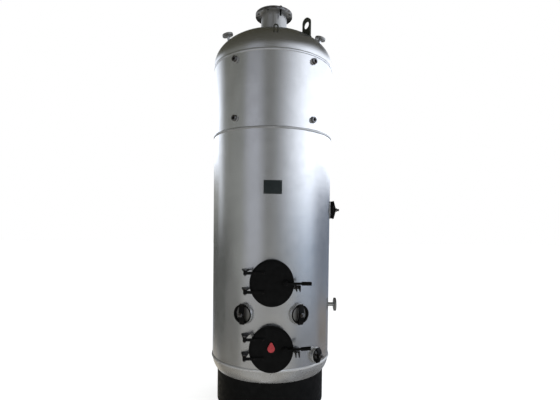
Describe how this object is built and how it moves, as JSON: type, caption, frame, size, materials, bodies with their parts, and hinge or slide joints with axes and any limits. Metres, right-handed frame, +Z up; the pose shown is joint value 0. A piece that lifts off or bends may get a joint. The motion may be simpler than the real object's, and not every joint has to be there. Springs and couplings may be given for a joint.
{
  "type": "upright hand-fired boiler",
  "caption": "Upright cylindrical steam boiler with a domed head, flanged flue neck, oval fire and ash doors on strap hinges, handholes and small flanged nozzles.",
  "frame": {"origin": "on the ground under the shell's axis", "axes": "+Z up along the shell's axis, the doors face -Y, +X to the right seen from the front"},
  "size_m": [1.088, 1.0822, 3.287],
  "materials": {
    "silver_paint": "satin aluminium paint",
    "black_paint": "satin black paint",
    "black_iron": "black painted casting",
    "furnace_steel": "bare heated plate",
    "grate_iron": "rough casting",
    "bright_steel": "turned, oiled",
    "label_metal": "dark anodised, bare",
    "red_paint": "satin red paint"
  },
  "bodies": {
    "boiler": {"base_skirt": "black_paint", "bottom_knuckle": "silver_paint", "lower_shell_front": "silver_paint", "lower_shell_right": "silver_paint", "lower_shell_left": "silver_paint", "upper_shell_front": "silver_paint", "upper_shell_rear": "silver_paint", "dome_head": "silver_paint", "furnace_wall_front": "furnace_steel", "furnace_wall_right": "furnace_steel", "furnace_wall_left": "furnace_steel", "furnace_crown": "furnace_steel", "flue_tube": "silver_paint", "flue_flange": "silver_paint", "fire_grate": "grate_iron", "ash_floor": "furnace_steel", "lifting_lugs": "black_paint", "lifting_eye": "black_paint", "side_nozzle_pipe": "silver_paint", "side_nozzle_flange": "silver_paint", "left_head_nozzle_pipe": "silver_paint", "left_head_nozzle_flange": "silver_paint", "right_head_nozzle_pipe": "silver_paint", "right_head_nozzle_flange": "silver_paint", "gauge_sockets": "silver_paint", "label_plate": "label_metal", "label_feet": "silver_paint", "handhole_rings": "silver_paint", "handhole_covers": "silver_paint", "handhole_yokes": "black_paint", "handhole_studs": "bright_steel", "upper_mouth_ring": "silver_paint", "upper_hinge_brackets": "black_paint", "upper_hinge_pins": "bright_steel", "upper_latch_keeper": "black_paint", "lower_mouth_ring": "silver_paint", "lower_hinge_brackets": "black_paint", "lower_hinge_pins": "bright_steel", "lower_latch_keeper": "black_paint"},
    "upper_door_leaf": {"upper_door": "black_iron", "upper_door_lining": "furnace_steel", "upper_door_straps": "black_paint", "upper_latch_bolt": "black_paint"},
    "upper_latch": {"upper_latch_lever": "black_paint"},
    "lower_door_leaf": {"lower_door": "black_iron", "lower_door_lining": "furnace_steel", "lower_door_straps": "black_paint", "lower_latch_bolt": "black_paint", "sight_cover_bolt": "red_paint"},
    "lower_latch": {"lower_latch_lever": "black_paint"},
    "sight_flap": {"sight_cover": "red_paint"}
  },
  "joints": [
    {"name": "upper_door_swing", "type": "hinge", "parent": "boiler", "child": "upper_door_leaf", "pos_m": [-0.197, -0.554, 1.045], "axis": [0, 0, -1], "range_deg": [0, 120]},
    {"name": "upper_latch_lift", "type": "hinge", "parent": "upper_door_leaf", "child": "upper_latch", "pos_m": [0.101, -0.566, 1.048], "axis": [0, -1, 0], "range_deg": [0, 40]},
    {"name": "lower_door_swing", "type": "hinge", "parent": "boiler", "child": "lower_door_leaf", "pos_m": [-0.197, -0.554, 0.551], "axis": [0, 0, -1], "range_deg": [0, 120]},
    {"name": "lower_latch_lift", "type": "hinge", "parent": "lower_door_leaf", "child": "lower_latch", "pos_m": [0.101, -0.566, 0.554], "axis": [0, -1, 0], "range_deg": [0, 40]},
    {"name": "sight_flap_swing", "type": "hinge", "parent": "lower_door_leaf", "child": "sight_flap", "pos_m": [0, -0.557, 0.6], "axis": [0, -1, 0], "range_deg": [-40, 100]}
  ]
}
